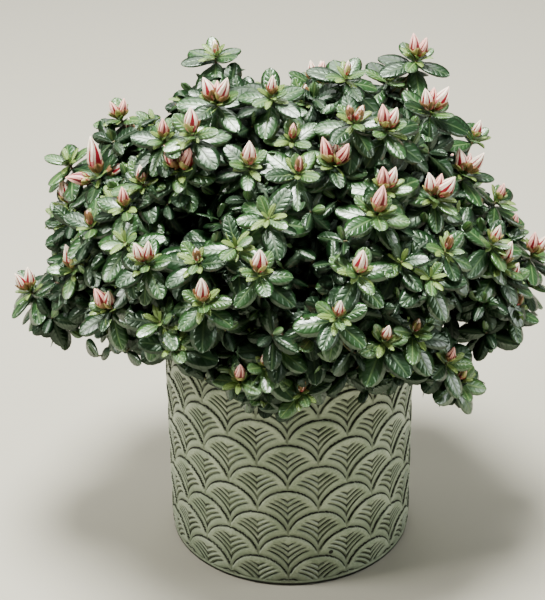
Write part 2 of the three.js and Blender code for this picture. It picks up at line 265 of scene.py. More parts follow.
def scallop_lines(sums, around, height):
    """Where the pattern's lines run, at a distance round the wall and a height above its foot.

    The lowest row whose top lies above the point holds it where the point is inside that row's
    arch, and otherwise the row above does, half a scallop to the side. The distance inside a
    scallop's own arch is the radius less the distance from the arch's centre, and an arch is cut
    only above its legs. The ribs are cut along parts of circles about two points, one below each
    side of the scallop. So they meet in chevrons at its spine, and they fade towards the arch.
    Returns four values from 0 to 1: the nearness to a cut arch and to a cut rib, the height of the
    scallop's tier, which falls from its own arch to the arches below it, and the nearness to the
    crest between two ribs. The last value is the distance outside the arches below."""
    row = sums.ceil((height - lowest_row_top) / row_pitch)
    near = sums.size(sums.wrap(around - (row + 1) * scallop_radius, scallop_radius))
    above = height - row * row_pitch - (lowest_row_top - scallop_radius)
    far = sums.size(sums.wrap(around - (row + 2) * scallop_radius, scallop_radius))
    arch = sums.root(near * near + above * above)
    inside = 1 * (arch < scallop_radius)
    across = far + (near - far) * inside
    rise = above - row_pitch * (1 - inside)
    upper = sums.most(rise, 0)
    own = scallop_radius - sums.root(across * across + upper * upper)
    beside = scallop_radius - across
    over = rise + row_pitch
    lower = sums.root(beside * beside + over * over) - scallop_radius
    arch_line = sums.most(*(
        sums.fall(sums.size(distance), *arch_line_edge) * sums.rise(level, *leg_end)
        for distance, level in ((own, rise), (lower, over))))
    sideways = rib_centre_out - across
    upwards = rise + rib_centre_down
    rib_distance = sums.root(sideways * sideways + upwards * upwards) - first_rib
    from_rib = sums.size(sums.wrap(rib_distance, rib_pitch / 2))
    drawn = (sums.rise(own, *ribs_inside_arch) * sums.rise(rib_distance, *ribs_start)
             * sums.fall(rib_distance, *ribs_end))
    spine = sums.fall(across, *spine_edge) * sums.fall(from_rib, *spine_bead)
    rib_line = sums.most(sums.fall(from_rib, *rib_line_edge), spine) * drawn
    inner = sums.most(own, 0)
    outer = sums.most(lower, 0)
    tier = outer / (inner + outer + tier_softening)
    crest = 1 - drawn * sums.fall(from_rib, 0, rib_pitch / 2)
    return arch_line, rib_line, tier, crest, outer


def grid_faces(rows, columns, closed=False):
    """Triangles over a grid of rows by columns of points. Where closed, the last column joins the
    first. The faces point outwards where rows run up and columns run anticlockwise."""
    row, column = np.meshgrid(np.arange(rows - 1), np.arange(columns - (not closed)), indexing="ij")
    after = (column + 1) % columns
    low, low_after = row * columns + column, row * columns + after
    high, high_after = low + columns, low_after + columns
    lower = np.stack([low, low_after, high_after], -1)
    upper = np.stack([low, high_after, high], -1)
    return np.concatenate([lower.reshape(-1, 3), upper.reshape(-1, 3)])


def ring_faces(rows, columns):
    """Triangles over rows of closed rings, with a fan of faces to a point at either end. The two
    end points come after the rings."""
    column = np.arange(columns)
    after = (column + 1) % columns
    low_end, top = rows * columns, (rows - 1) * columns
    low_fan = np.stack([np.full(columns, low_end), after, column], 1)
    high_fan = np.stack([np.full(columns, low_end + 1), top + column, top + after], 1)
    return np.concatenate([grid_faces(rows, columns, True), low_fan, high_fan])


def new_piece(name, points, faces, finishes, nodes, face_finish=None, sheet=None):
    """A smooth mesh from arrays, which rides on the plant's one body and stands for CAD nodes.
    face_finish gives each face the number of its finish, and sheet each point its place on a flat
    leaf, kept as a UV map."""
    mesh = bpy.data.meshes.new(name)
    mesh.vertices.add(len(points))
    mesh.vertices.foreach_set("co", np.ascontiguousarray(points, np.float32).ravel())
    mesh.loops.add(faces.size)
    mesh.loops.foreach_set("vertex_index", np.ascontiguousarray(faces, np.int32).ravel())
    mesh.polygons.add(len(faces))
    mesh.polygons.foreach_set("loop_start", np.arange(0, faces.size, 3, dtype=np.int32))
    mesh.polygons.foreach_set("use_smooth", np.ones(len(faces), bool))
    for finish in finishes:
        mesh.materials.append(finish.material)
    if face_finish is not None:
        mesh.polygons.foreach_set("material_index", np.ascontiguousarray(face_finish, np.int32))
    if sheet is not None:
        layer = mesh.uv_layers.new(name="sheet")
        layer.data.foreach_set("uv", np.ascontiguousarray(sheet[faces.ravel()], np.float32).ravel())
    mesh.update(calc_edges=True)
    mesh.validate()
    piece = bpy.data.objects.new(name, mesh)
    bpy.context.scene.collection.objects.link(piece)
    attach(piece, "root")
    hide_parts(*nodes)
    return piece


def arc(centre_radius, centre_height, radius, start, end, steps):
    """Points of an arc in a turned profile, as radius and height."""
    turn = np.radians(np.linspace(start, end, steps + 1))
    return np.stack([centre_radius + radius * np.cos(turn), centre_height + radius * np.sin(turn)], 1)


def even_turn(count):
    """Angles that are spread evenly round a full turn."""
    return full_turn * np.arange(count) / count


def turned(profile, columns, outward=0):
    """A closed turned surface: each point of a profile that starts and ends on the axis is carried
    round it, after it is moved out by the distance that outward gives for it."""
    angle = even_turn(columns)
    rows = len(profile) - 2
    radius = profile[1:-1, :1] + outward
    height = np.broadcast_to(profile[1:-1, 1:], (rows, columns))
    rings = np.stack([radius * np.cos(angle), radius * np.sin(angle), height], -1).reshape(-1, 3)
    ends = np.array([[0, 0, profile[0, 1]], [0, 0, profile[-1, 1]]])
    return np.concatenate([rings, ends]), ring_faces(rows, columns)


# The glaze is thin and pale in clouds, weighted towards the top of each tier as a painted highlight.
# Painted shade darkens it just above the arches of the row below and along the cut ribs, and the
# dark of the cuts comes and goes.
glaze = Finish("sage_glaze", glaze_color, 0.42, specular=0.35)
place = glaze.place()
east, north, height = glaze.parts(place)
around = glaze.math("ARCTAN2", east, north * -1) * planter_radius
arch_line, rib_line, tier, crest, outer = scallop_lines(glaze, around + front_turn, height)
distance_out = glaze.root(east * east + north * north)
on_wall = (distance_out > planter_radius - wall_skin) * glaze.rise(height, *lines_start)
on_wall = on_wall * glaze.fall(height, *lines_end)
clouds = glaze.noise(place, *clouds_grain)
fine_clouds = glaze.noise(place, *fine_clouds_grain)
thinning = glaze.rise(glaze.noise(place, *thinning_grain), 0.3, 0.6) * 0.45 + 0.6
cut = glaze.most(arch_line * (0.6 + 0.4 * thinning), rib_line * thinning) * on_wall
# pale clouds of thin glaze, stronger near the top of each tier as a painted highlight
pale_clouds_and_tier_highlight = glaze.rise(clouds * 0.65 + fine_clouds * 0.35, 0.38, 0.6) * (0.3 + 0.7 * tier)
color = glaze.blend(pale_clouds_and_tier_highlight, glaze_color, pale_glaze_and_highlight_color)
# painted shade just above the arches of the row below and along the cut ribs
hollow_shade = glaze.fall(outer, 0, hollow_shade_width) * 0.7 + (1 - crest) * 0.6
hollow_shade = glaze.most(hollow_shade - 0.2 * clouds, 0) * on_wall
color = glaze.blend(hollow_shade, color, hollow_shade_color)
chip_side, chip_rise = around - chip_around, height - chip_height
chip = glaze.fall(glaze.root(chip_side * chip_side + chip_rise * chip_rise), *chip_edge)
for dark in (cut, glaze.fall(height, *foot_line_edge), chip):
    color = glaze.blend(dark, color, cut_color)
inside = glaze.blend(fine_clouds, inside_color, pale_inside_color)
color = glaze.blend(glaze.fall(distance_out, *inside_edge), color, inside)
glaze.set(base_color=color, roughness=0.36 + 0.14 * clouds + 0.4 * cut)
glaze.bump(fine_clouds * grain_depth + crest * rib_swell * on_wall - cut * cut_depth)

columns = scallop_columns * cells_per_scallop
wall_heights = np.linspace(foot_round, planter_height - rim_round, wall_rows)
wall = np.stack([np.full(wall_rows, planter_radius), wall_heights], 1)
inner_radius = planter_radius - wall_thickness
inner_heights = np.linspace(planter_height - 2 * rim_round, floor_thickness, inner_wall_rows)
profile = np.concatenate([
    [[0, 0]],
    arc(planter_radius - foot_round, foot_round, foot_round, -90, 0, 4)[:-1],
    wall,
    arc(planter_radius - rim_round, planter_height - rim_round, rim_round, 0, 90, 3)[1:],
    arc(inner_radius + rim_round, planter_height - rim_round, rim_round, 90, 180, 3),
    np.stack([np.full(inner_wall_rows, inner_radius), inner_heights], 1),
    [[0, floor_thickness]],
])
around = planter_radius * (even_turn(columns) + np.pi / 2) + front_turn
height = profile[1:-1, 1:]
arch_line, _, tier, crest, _ = scallop_lines(Arrays, around[None], height)
on_wall = np.isclose(profile[1:-1, :1], planter_radius)
shown = on_wall * Arrays.rise(height, *relief_start) * Arrays.fall(height, *relief_end)
relief = (Arrays.rise(tier, 0, 1) - 0.5) * tier_step + (crest - 0.5) * rib_height
points, faces = turned(profile, columns, (relief - arch_line * cut_depth) * shown)
new_piece("glazed_planter", points, faces, [glaze], ["planter"])

# Soil
# Moist peat with crumbs and bits of bark, filled to below the rim. It rises a little towards the
# foot of the stem.
soil_top = 162 * mm
soil_crown = 5 * mm
soil_gap = 0.3 * mm
soil_rings = 60
soil_columns = 180
crumb_size = 9 * mm
fine_crumb_size = crumb_size / 2.5
crumb_height = 2.2 * mm
bare_edge = 3 * mm


def lattice(cells, seed):
    """An even spread of values from 0 to 1 for whole-numbered cells in space: the fraction of a
    large multiple of a sine, whose angle mixes the cell's three numbers."""
    mixed = cells @ np.array([127.1, 311.7, 74.7]) + seed * 53.3
    value = np.sin(mixed) * 43758.5453
    return value - np.floor(value)


def lumps(points, size, seed=0):
    """Smooth lumps of about one size: random values at the corners of cubic cells, joined by a
    smooth step along each edge. The result lies between 0 and 1."""
    scaled = points / size
    cell = np.floor(scaled)
    share = scaled - cell
    share = share * share * (3 - 2 * share)
    total = np.zeros(points.shape[:-1])
    for corner in np.ndindex(2, 2, 2):
        weight = np.prod(np.where(np.array(corner) == 1, share, 1 - share), axis=-1)
        total = total + weight * lattice(cell + corner, seed)
    return total


soil_radius = inner_radius - soil_gap
soil_bottom = floor_thickness + soil_gap
share = np.linspace(1, 0, soil_rings)
slope = np.stack([soil_radius * share, soil_top - soil_crown * share ** 2], 1)
soil_profile = np.concatenate([
    [[0, soil_bottom]],
    arc(soil_radius - foot_round, soil_bottom + foot_round, foot_round, -90, 0, 3),
    slope,
])
points, faces = turned(soil_profile, soil_columns)
crumbs = (lumps(points, crumb_size) - 0.5) + 0.5 * (lumps(points, fine_crumb_size, 1) - 0.5)
soil_edge = soil_top - soil_crown
on_top = Arrays.rise(points[:, 2], soil_edge - 1 * mm, soil_edge)
off_edge = Arrays.fall(np.hypot(points[:, 0], points[:, 1]), soil_radius - bare_edge, soil_radius)
points[:, 2] += crumbs * crumb_height * on_top * off_edge


def mottled(name, color, roughness, specular, grain, change, dark, light, depth):
    """A finish in grains. grain gives how many a metre has and their detail, change where the
    noise turns from the dark colour to the light one, and depth how far the grains stand out."""
    finish = Finish(name, color, roughness, specular=specular)
    grains = finish.noise(finish.place(), *grain)
    finish.set(base_color=finish.blend(finish.rise(grains, *change), dark, light))
    finish.bump(grains * depth)
    return finish


peat_finish = mottled("moist_peat", (0.03, 0.02, 0.012, 1), 0.9, 0.2, (260, 5), (0.4, 0.62),
                      (0.012, 0.008, 0.005, 1), (0.075, 0.045, 0.025, 1), 1.2 * mm)
new_piece("peat", points, faces, [peat_finish], ["soil"])

# Stem and boughs
# The short woody stem and the boughs that it forks into, with grey-brown bark in shallow ridges
# that run along each limb.
heart = np.array([-8, 0, 205]) * mm
crown_half = np.array([213, 188, 190]) * mm
stem_height = 42 * mm
stem_lean = -8 * mm
stem_base_radius = 11 * mm
stem_tip_radius = 7.5 * mm
stem_flare = 5 * mm
stem_flare_fade = 7
bough_inset = 4.5 * mm
bough_base_radius = 3 * mm
bough_tip_radius = 2.1 * mm
bough_share = 0.44
bough_rising = 0.9
bough_spreading = 0.3
bough_bend = 0.45
low_mass_to = 30
middle_mass_to = 50
stem_rings = 46
stem_columns = 44
bough_rings = 40
bough_columns = 18
stem_sunk = 1 * mm
bark_relief = 0.35
ridges_round = 2.6
ridge_length = 9 * mm
limbs_apart = 3.7

# Each mass of foliage, seen from the heart: degrees round from +X, degrees up from level, and its
# reach, which is 1 on the dome, more outside it and less inside it
masses = {
    "top_left": (160, 70, 1.1),
    "top_right": (20, 61, 1.1),
    "top_back": (88, 57, 1),
    "brow": (-89, 67, 0.98),
    "front": (-90, 36, 0.98),
    "front_right": (-38, 39, 1.01),
    "right_shoulder": (8, 31, 0.98),
    "back_right": (51, 33, 1),
    "back_left": (124, 35, 1.02),
    "left_shoulder": (170, 37, 0.96),
    "front_left": (-141, 40, 1),
    "low_front": (-93, 11, 0.86),
    "low_front_right": (-50, 14, 0.93),
    "low_right": (-8, 10, 1),
    "low_back_right": (38, 10, 0.98),
    "low_back": (87, 13, 0.95),
    "low_back_left": (135, 11, 0.97),
    "low_left": (179, 11, 1.02),
    "low_front_left": (-138, 25, 0.93),
}
places = np.array(list(masses.values()), float)
mass_elevation, mass_reach = places[:, 1], places[:, 2]
mass_seed = np.arange(1, len(masses) + 1)


def uneven(seed, step):
    """The seeded unevenness of growth, from 0 to 1: the fraction of a sum of two multiples, which
    spreads both the seeds and the steps evenly."""
    value = seed * 0.7548776662 + step * 0.569840291
    return value - np.floor(value)


def varied(seed, step, low, high):
    """The same unevenness, spread from low to high."""
    return low + (high - low) * uneven(seed, step)


def unit(vectors):
    """Each vector divided by its own length."""
    return vectors / np.linalg.norm(vectors, axis=-1, keepdims=True)


def direction(azimuth, elevation):
    """Unit vectors at azimuths and elevations in degrees."""
    turn, rise = np.radians(azimuth), np.radians(elevation)
    return np.stack([np.cos(rise) * np.cos(turn), np.cos(rise) * np.sin(turn), np.sin(rise)], -1)


def dome_reach(toward):
    """How far the dome stands from the heart in each direction."""
    return 1 / np.linalg.norm(toward / crown_half, axis=-1)


def square_to(axis):
    """Two unit vectors square to each axis and to each other."""
    guide = np.where(np.abs(axis[..., 2:]) < 0.9, [0.0, 0.0, 1.0], [1.0, 0.0, 0.0])
    side = unit(np.cross(guide, axis))
    return side, np.cross(axis, side)


def spokes(side, other, bearing):
    """Directions at bearings round an axis, from two that are square to it."""
    return side * np.cos(bearing)[..., None] + other * np.sin(bearing)[..., None]


def turned_from(axis, angle, bearing):
    """Directions turned away from an axis by an angle in radians, at a bearing round it."""
    side, other = square_to(axis)
    return (axis * np.cos(angle)[..., None]
            + spokes(side, other, bearing) * np.sin(angle)[..., None])


def curve_points(start, middle, end, share):
    """Points of quadratic Bezier curves, one row of points for each curve."""
    share = share[:, None]
    start, middle, end = (np.atleast_2d(spot)[:, None] for spot in (start, middle, end))
    return start * (1 - share) ** 2 + middle * 2 * share * (1 - share) + end * share ** 2


def bent(start, end, arriving, bend, share):
    """Points of curves that arrive at their end along a given direction."""
    length = np.linalg.norm(end - start, axis=-1, keepdims=True)
    return curve_points(start, end - arriving * bend * length, end, share)


def tubes(paths, radii, sides, relief=None):
    """Closed tubes along several paths with as many points each. Each ring lies square to its
    path, and turns as little as can be: its first corner keeps near the side of the curve's bend.
    relief gives the bumps of the skin from its points, as a share of the radius."""
    along = unit(np.gradient(paths, axis=1))
    bend = np.cross(along[:, 0], along[:, -1])
    straight = np.linalg.norm(bend, axis=-1, keepdims=True) < 0.01
    side = np.where(straight, square_to(along[:, 0])[0], bend)
    side = np.broadcast_to(side[:, None], along.shape)
    other = unit(np.cross(along, side))
    side = np.cross(other, along)
    ring = spokes(side[:, :, None], other[:, :, None], even_turn(sides))
    radii = np.broadcast_to(radii, paths.shape[:2])[:, :, None, None]
    skin = paths[:, :, None] + ring * radii
    if relief is not None:
        skin = skin + ring * radii * relief(skin, paths)[..., None]
    count, steps = paths.shape[:2]
    ends = np.stack([paths[:, 0], paths[:, -1]], 1)
    return np.concatenate([skin.reshape(count, -1, 3), ends], 1), ring_faces(steps, sides)


def joined(*groups):
    """One set of points and faces from several groups of like shapes."""
    all_points, all_faces, start = [], [], 0
    for points, faces in groups:
        count, corners = points.shape[:2]
        steps = start + corners * np.arange(count)[:, None, None]
        all_points.append(points.reshape(-1, 3))
        all_faces.append((faces[None] + steps).reshape(-1, 3))
        start += count * corners
    return np.concatenate(all_points), np.concatenate(all_faces)


def bark_ridges(skin, paths):
    """Shallow ridges along a limb: lumps that are read from the way the skin faces and from the
    distance along the limb, and elsewhere for each limb. The ridge length stretches them."""
    out = unit(skin - paths[:, :, None])
    passed = np.cumsum(np.linalg.norm(np.gradient(paths, axis=1), axis=-1), 1)
    along = np.broadcast_to(passed[:, :, None, None], out.shape[:3] + (1,)) / ridge_length
    elsewhere = np.arange(len(paths))[:, None, None, None] * limbs_apart
    read = np.concatenate([out[..., :2] * ridges_round + elsewhere, along + out[..., 2:]], -1)
    return (lumps(read, 1.0, 3) - 0.5) * bark_relief


mass_axis = direction(places[:, 0], mass_elevation)
mass_length = dome_reach(mass_axis) * mass_reach
mass_turn = full_turn * uneven(mass_seed, 0)

stem_foot = np.array([0, 0, soil_top + soil_gap])
stem_knee = stem_foot + [0, 0, 0.5 * stem_height]
stem_tip = stem_foot + [stem_lean, 0, stem_height]
stem_share = np.linspace(0, 1, stem_rings)
stem_path = curve_points(stem_foot - [0, 0, stem_sunk], stem_knee, stem_tip, stem_share)
stem_radii = (stem_base_radius + (stem_tip_radius - stem_base_radius) * stem_share
              + stem_flare * np.exp(-stem_flare_fade * stem_share))

# The boughs of the lowest masses leave the stem first, and those of the top near its tip
bough_start_share = np.select([mass_elevation <= low_mass_to, mass_elevation <= middle_mass_to],
                              [0.3, 0.64], 0.95)
outward = direction(places[:, 0], 0 * mass_elevation)
bough_start = curve_points(stem_foot, stem_knee, stem_tip, bough_start_share)[0]
bough_start = bough_start + outward * bough_inset
bough_end = heart + mass_axis * (bough_share * mass_length)[:, None]
bough_arriving = unit(mass_axis * bough_rising + outward * bough_spreading)
bough_steps = np.linspace(0, 1, bough_rings)
bough_paths = bent(bough_start, bough_end, bough_arriving, bough_bend, bough_steps)
bough_radii = bough_base_radius + (bough_tip_radius - bough_base_radius) * np.sqrt(bough_steps)

bark_finish = mottled("azalea_bark", (0.12, 0.075, 0.045, 1), 0.85, 0.25, (190, 4), (0.35, 0.68),
                      (0.045, 0.028, 0.018, 1), (0.20, 0.14, 0.09, 1), 0.5 * mm)
stem_tube = tubes(stem_path, stem_radii, stem_columns, bark_ridges)
bough_tubes = tubes(bough_paths, bough_radii, bough_columns, bark_ridges)
points, faces = joined(stem_tube, bough_tubes)
bough_nodes = ["bough_" + name for name in masses]
new_piece("stem_and_boughs", points, faces, [bark_finish], ["stem", *bough_nodes])

# Shoots
# From each bough a thin stem goes on, forks into seven shoots, and these bear side sprigs. All
# shoots and sprigs end in a whorl of leaves. Their skin is mottled in brown and olive green.
mass_stem_share = 0.66
mass_stem_radius = 1.9 * mm
shoots_in_mass = 7
shoot_spread = 13
middle_spread = 3
skirt_rise = 20
skirt_hang = 9
shoot_bend = 0.4
whorl_depth = 17 * mm
shoot_radius = 1.3 * mm
sprig_radius = 0.8 * mm
twig_rings = 12
mass_stem_columns = 9
shoot_columns = 7
sprig_columns = 5
sprig_outward = 0.35
sprig_clearance = 8 * mm
sprig_below_rim = 6 * mm

# How strongly whorls turn up, and how strongly to the front at the crown's side and at its top
shoot_lift = 1.35
sprig_lift = 1.0
side_lean = 0.35
top_lean = 0.85

# How far out the pictured buds stand, as shares of the dome, how far the leafy shoots between
# them, how those outside the outline are drawn in, and the share of shoots behind with buds
usual_bud_reach = 0.93
bud_reach_loss = 0.085
front_from = 0.05
leafy_share = 0.93
outline_share = 0.95
outline_trims = 6
budding_share = 0.62

# The side sprigs of each kind of limb: how many, how far along the limb the first and the last
# may stand, their least and greatest length, and the share of the mass's reach left to them
shoot_sprig_habit = (4, 0.22, 0.95, 30 * mm, 52 * mm, 1)
mass_stem_sprig_habit = (6, 0.1, 0.98, 34 * mm, 62 * mm, 0.9)
bough_sprig_habit = (3, 0.6, 0.98, 34 * mm, 60 * mm, 0.8)

# Where the photographed plant carries its buds, as pixels of a picture 545 wide and 600 high, at
# the whorl below each group of buds, with the kind of group
view_width = 545
view_height = 600
bud_places = [
    (215, 56, "tight"), (217, 103, "three"), (271, 97, "small"), (273, 112, "tight"),
    (304, 101, "tight"), (316, 85, "two"), (346, 78, "tight"), (417, 59, "two"),
    (432, 112, "three"), (474, 139, "small"), (465, 174, "three"), (497, 201, "small"),
    (436, 198, "three"), (386, 190, "two"), (377, 214, "one"), (387, 130, "two"),
    (354, 123, "pair"), (334, 165, "three"), (292, 141, "tight"), (249, 167, "one"),
    (192, 135, "one"), (181, 171, "three"), (121, 119, "pair"), (131, 138, "small"),
    (164, 140, "small"), (98, 176, "open"), (142, 184, "small"), (68, 205, "one"),
    (125, 208, "small"), (91, 227, "tight"), (91, 251, "pair"), (73, 270, "one"),
    (146, 263, "two"), (197, 263, "tight"), (30, 291, "two"), (109, 310, "two"),
    (203, 303, "one"), (259, 274, "one"), (358, 274, "one"), (313, 336, "three"),
    (337, 318, "small"), (414, 333, "tight"), (384, 342, "small"), (447, 363, "small"),
    (459, 381, "tight"), (240, 382, "small"), (265, 367, "small"), (301, 393, "tight"),
    (279, 347, "tight"), (515, 308, "tight"), (501, 266, "one"), (510, 280, "small"),
    (533, 255, "two"), (492, 244, "small"), (446, 251, "tight"), (298, 174, "tight"),
    (268, 218, "none"), (236, 247, "none"), (125, 242, "none"), (431, 278, "none"),
    (68, 163, "none"), (172, 346, "none"), (388, 80, "none"), (160, 322, "none"),
]

# The outline of the photographed crown in the same pixels, clockwise from its left tip, with the
# tips that the picture's edges cut off completed
crown_outline = np.array([
    (-12, 288), (-6, 268), (14, 263), (38, 262), (52, 270), (60, 260), (60, 242), (52, 228),
    (42, 218), (48, 200), (42, 190), (54, 180), (54, 160), (62, 148), (76, 146), (86, 126),
    (98, 126), (86, 109), (104, 100), (126, 98), (152, 109), (158, 122), (168, 122), (174, 112),
    (168, 100), (184, 94), (184, 84), (176, 62), (188, 50), (190, 30), (212, 36), (244, 32),
    (250, 56), (240, 70), (262, 84), (274, 80), (288, 86), (304, 76), (316, 68), (334, 74),
    (344, 56), (356, 58), (360, 74), (376, 62), (396, 48), (388, 28), (406, 38), (420, 33),
    (434, 44), (448, 70), (446, 84), (454, 96), (478, 100), (478, 114), (486, 124), (482, 138),
    (498, 148), (478, 156), (480, 174), (500, 182), (512, 190), (518, 202), (536, 212),
    (518, 222), (530, 228), (546, 244), (554, 262), (548, 284), (560, 300), (548, 312),
    (540, 330), (516, 334), (508, 350), (484, 350), (478, 368), (478, 392), (466, 405),
    (434, 398), (408, 384), (398, 378), (382, 392), (356, 395), (338, 390), (306, 402),
    (282, 414), (264, 410), (268, 398), (252, 400), (238, 409), (226, 400), (208, 386),
    (206, 372), (166, 366), (134, 364), (118, 350), (90, 359), (78, 346), (62, 342),
    (48, 354), (32, 344), (24, 326), (4, 316), (-10, 304),
], float)

# The view of the photograph: how far the camera stands, how steeply it looks down, what it looks
# at, how it is turned about its line of sight, and its lens on a sensor 36 mm high
view_distance = 1359.81 * mm
view_elevation = np.radians(29.04)
view_target = np.array([-13.03, 0, 209.07]) * mm
view_roll = np.radians(-0.81)
lens_length = 102
sensor_size = 36
focus = lens_length / sensor_size * view_height
view_back = np.array([0, -np.cos(view_elevation), np.sin(view_elevation)])
view_up = np.array([0, np.sin(view_elevation), np.cos(view_elevation)])
view_right = np.array([1, 0, 0]) * np.cos(view_roll) + view_up * np.sin(view_roll)
view_up = view_up * np.cos(view_roll) - np.array([1, 0, 0]) * np.sin(view_roll)
view_eye = view_target + view_back * view_distance


def seen_on_dome(pixels, reach):
    """The points of the dome, shrunk or swelled by reach, that are seen at pixels of the picture.
    A line of sight that passes outside the dome gives its point nearest to it."""
    right = (pixels[:, :1] - view_width / 2) / focus
    rise = (view_height / 2 - pixels[:, 1:]) / focus
    sight = unit(view_right * right + view_up * rise - view_back)
    scaled_eye = (view_eye - heart) / crown_half
    scaled_sight = sight / crown_half
    whole = np.sum(scaled_sight ** 2, 1)
    half = scaled_sight @ scaled_eye
    rest = scaled_eye @ scaled_eye - reach ** 2
    room = np.sqrt(np.maximum(half ** 2 - whole * rest, 0))
    return view_eye + sight * ((-half - room) / whole)[:, None]


def in_outline(points):
    """Whether points are seen inside the photographed outline: a line drawn sideways from each
    crosses the outline's edges an odd number of times."""
    depth = (view_eye - points) @ view_back
    x = view_width / 2 + focus * ((points - view_eye) @ view_right) / depth
    y = view_height / 2 - focus * ((points - view_eye) @ view_up) / depth
    (x_one, y_one), (x_next, y_next) = crown_outline.T, np.roll(crown_outline, -1, axis=0).T
    spans = (y_one > y[:, None]) != (y_next > y[:, None])
    drop = np.where(y_next == y_one, 1, y_next - y_one)
    crossing = x_one + (x_next - x_one) * (y[:, None] - y_one) / drop
    return (spans & (x[:, None] < crossing)).sum(1) % 2 == 1


def shared_out(count, carriers):
    """For so many things on each of some carriers, which carrier each thing is on, and which of
    its things it is."""
    return np.repeat(np.arange(carriers), count), np.tile(np.arange(count), carriers)


def shoot_directions():
    """The directions of each mass's shoots: six about its axis, unevenly, and one along it. In
    the crown's skirt they hang only a little below the axis."""
    mass, number = shared_out(shoots_in_mass, len(masses))
    seed = mass_seed[mass] * shoots_in_mass + number
    middle = number == shoots_in_mass - 1
    bearing = mass_turn[mass] + number * np.pi / 3 + varied(seed, 2, -0.2, 0.2)
    bearing = np.where(middle, full_turn * uneven(seed, 1), bearing)
    angle = np.where(middle, middle_spread, shoot_spread * varied(seed, 3, 0.85, 1.15))
    toward = turned_from(mass_axis[mass], np.radians(angle), bearing)
    lowest = np.sin(np.radians(mass_elevation[mass] - skirt_hang))
    in_skirt = (mass_elevation[mass] <= skirt_rise) & ~middle
    toward[:, 2] = np.where(in_skirt, np.maximum(toward[:, 2], lowest), toward[:, 2])
    return mass, seed, unit(toward)


shoot_mass, shoot_seed, shoot_toward = shoot_directions()
stretch = mass_reach[shoot_mass] * varied(shoot_seed, 4, 0.96, 1.04)
shoot_tip = heart + shoot_toward * (dome_reach(shoot_toward) * stretch - whorl_depth)[:, None]
kinds_behind = np.array(["one", "small", "two", "tight", "three"])
shoot_buds = kinds_behind[(uneven(shoot_seed, 7) * len(kinds_behind)).astype(int)]
shoot_buds = np.where(uneven(shoot_seed, 5) < budding_share, shoot_buds, "none")

# The shoots nearest to the photographed buds carry them. The other shoots of the front bear
# leaves alone and stay a little deeper, and those that the picture would show outside the crown
# end at its outline.
bud_pixels = np.array([place[:2] for place in bud_places], float)
bud_kinds = [place[2] for place in bud_places]
seen = seen_on_dome(bud_pixels, usual_bud_reach)
nearest_mass = np.argmax(unit(seen - heart) @ mass_axis.T, axis=1)
seen = seen_on_dome(bud_pixels, mass_reach[nearest_mass] - bud_reach_loss)
nearness = unit(seen - heart) @ shoot_toward.T
pictured = np.full(len(shoot_tip), False)
placed = set()
for rank in np.argsort(-nearness, axis=None):
    bud, shoot = divmod(int(rank), len(shoot_tip))
    if bud not in placed and not pictured[shoot]:
        placed.add(bud)
        pictured[shoot] = True
        shoot_tip[shoot] = seen[bud]
        shoot_buds[shoot] = bud_kinds[bud]
shoot_toward = unit(shoot_tip - heart)
in_front = (shoot_toward @ view_back > front_from) & ~pictured
shoot_buds = np.where(in_front, "none", shoot_buds)
shoot_tip = np.where(in_front[:, None], heart + (shoot_tip - heart) * leafy_share, shoot_tip)
for _ in range(outline_trims):
    outside = ~in_outline(shoot_tip) & ~pictured
    shoot_tip = np.where(outside[:, None], heart + (shoot_tip - heart) * outline_share, shoot_tip)

leaving = unit(bough_paths[:, -1] - bough_paths[:, -2])
fork = heart + mass_axis * (mass_stem_share * mass_length)[:, None]
stem_start = bough_paths[:, -1]
knee = stem_start + leaving * 0.5 * np.linalg.norm(fork - stem_start, axis=1, keepdims=True)
twig_steps = np.linspace(0, 1, twig_rings)
mass_stems = curve_points(stem_start, knee, fork, twig_steps)

up = np.array([0.0, 0.0, 1.0])


def facing_light(toward, lift):
    """The ways whorls face: outwards and up, and but for the back also to the front, where the
    light comes from, most at the top."""
    share = np.clip(1 + 2 * toward @ view_back, 0, 1)
    lean = (side_lean + top_lean * np.maximum(toward[:, 2], 0) ** 2) * share
    return unit(toward + up * lift - np.array([0, 1, 0]) * lean[:, None])


shoot_pointing = facing_light(shoot_toward, shoot_lift)
shoot_paths = bent(fork[shoot_mass], shoot_tip, shoot_pointing, shoot_bend, twig_steps)
shoot_radii = shoot_radius * (1.3 - 0.5 * twig_steps)

golden_angle = np.pi * (3 - np.sqrt(5))


def clear_of_planter(points, margin):
    """Whether each point lies above the rim or outside the wall."""
    return ((points[..., 2] > planter_height + margin)
            | (np.hypot(points[..., 0], points[..., 1]) > planter_radius + margin))


class Sprigs:
    """Side sprigs of limbs. They leave each limb at even heights, at bearings a golden angle
    apart and some 50 degrees off its way, turn towards the light, and end inside the crown."""

    def __init__(self, limbs, limb_seed, limb_reach, habit):
        count, first, last, shortest, longest, reach_share = habit
        limb, number = shared_out(count, len(limbs))
        seed = limb_seed[limb] * count + number
        share = first + (last - first) * (number + varied(seed, 1, 0, 0.7)) / count
        step = np.maximum(np.round(share * (limbs.shape[1] - 1)).astype(int), 1)
        start = limbs[limb, step]
        way = unit(start - limbs[limb, step - 1])
        bearing = golden_angle * seed + varied(seed, 2, 0, 0.8)
        toward = turned_from(way, np.radians(varied(seed, 3, 42, 62)), bearing)
        toward = unit(toward + sprig_outward * unit(limbs[limb, -1] - heart))
        tip = start + toward * varied(seed, 4, shortest, longest)[:, None]
        level = np.linalg.norm((tip - heart) / crown_half, axis=1)
        allowed = limb_reach[limb] * reach_share * varied(seed, 5, 0.87, 0.77)
        tip = heart + (tip - heart) * np.minimum(1, allowed / level)[:, None]
        kept = clear_of_planter(tip, sprig_clearance) & in_outline(tip)
        kept = kept & (tip[:, 2] > planter_height - sprig_below_rim)
        self.tip, self.seed = tip[kept], seed[kept]
        self.pointing = facing_light(unit(tip - start), sprig_lift)[kept]
        self.paths = bent(start[kept], self.tip, self.pointing, shoot_bend, twig_steps[::2])


